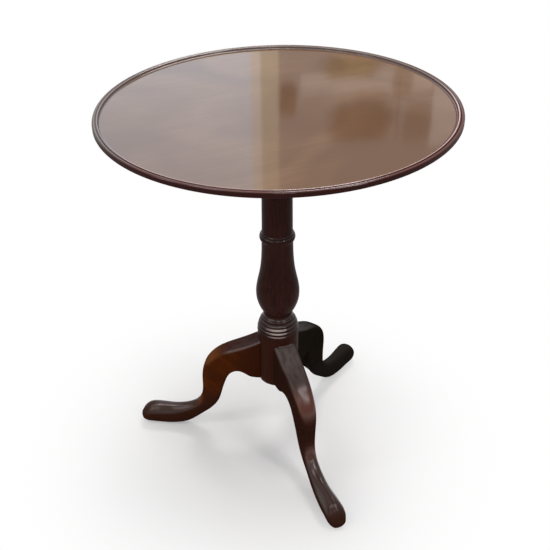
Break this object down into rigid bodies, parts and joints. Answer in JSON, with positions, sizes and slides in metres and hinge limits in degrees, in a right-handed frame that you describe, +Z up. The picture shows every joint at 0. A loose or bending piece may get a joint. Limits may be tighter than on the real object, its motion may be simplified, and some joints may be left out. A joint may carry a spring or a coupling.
{
  "type": "tilt-top wine table",
  "caption": "Round dished table top that tilts upright on a turned pillar with three cabriole legs and pad feet, locked flat by a sliding brass bolt.",
  "frame": {"origin": "on the floor under the pillar's axis, which is also the centre of the round top", "axes": "+Z up; -Y towards the front leg and the catch, whose edge of the top rises; +X to the right seen from the front leg"},
  "size_m": [0.584, 0.584, 0.7],
  "materials": {
    "top_wood": "high-gloss french-polished mahogany",
    "pillar_wood": "very dark polished mahogany",
    "leg_wood": "dark red-brown polished mahogany, worn lighter on the knees and feet",
    "block_wood": "plain oiled mahogany, unpolished under the top",
    "brass": "old lacquered brass",
    "iron": "blackened wrought iron"
  },
  "bodies": {
    "pillar": {"column": "pillar_wood", "leg_front": "leg_wood", "leg_right": "leg_wood", "leg_left": "leg_wood", "tilt_block": "block_wood", "tenon_wedge": "block_wood", "pivot_pin_left": "block_wood", "pivot_pin_right": "block_wood", "leg_strap": "iron", "keeper_plate": "brass", "keeper_screw_1": "brass", "keeper_screw_2": "brass", "strap_screw_1": "iron", "strap_screw_2": "iron", "strap_screw_3": "iron", "strap_screw_4": "iron", "strap_screw_5": "iron", "strap_screw_6": "iron", "strap_screw_7": "iron"},
    "top": {"table_top": "top_wood", "bearer_left": "block_wood", "bearer_right": "block_wood", "catch_plate": "brass", "catch_staple_front": "brass", "catch_staple_back": "brass", "catch_spring": "brass", "spring_rivet": "brass", "bearer_screw_1": "iron", "bearer_screw_2": "iron", "bearer_screw_3": "iron", "bearer_screw_4": "iron", "bearer_screw_5": "iron", "bearer_screw_6": "iron", "bearer_screw_7": "iron", "bearer_screw_8": "iron", "catch_screw_1": "brass", "catch_screw_2": "brass", "catch_screw_3": "brass", "catch_screw_4": "brass"},
    "catch": {"catch_bolt": "brass", "catch_knob": "brass"}
  },
  "joints": [
    {"name": "top_tilt", "type": "hinge", "parent": "pillar", "child": "top", "pos_m": [0, 0.052, 0.6725], "axis": [-1, 0, 0], "range_deg": [0, 90]},
    {"name": "catch_slide", "type": "slide", "parent": "top", "child": "catch", "axis": [0, 1, 0], "range_m": [0, 0.01]}
  ]
}
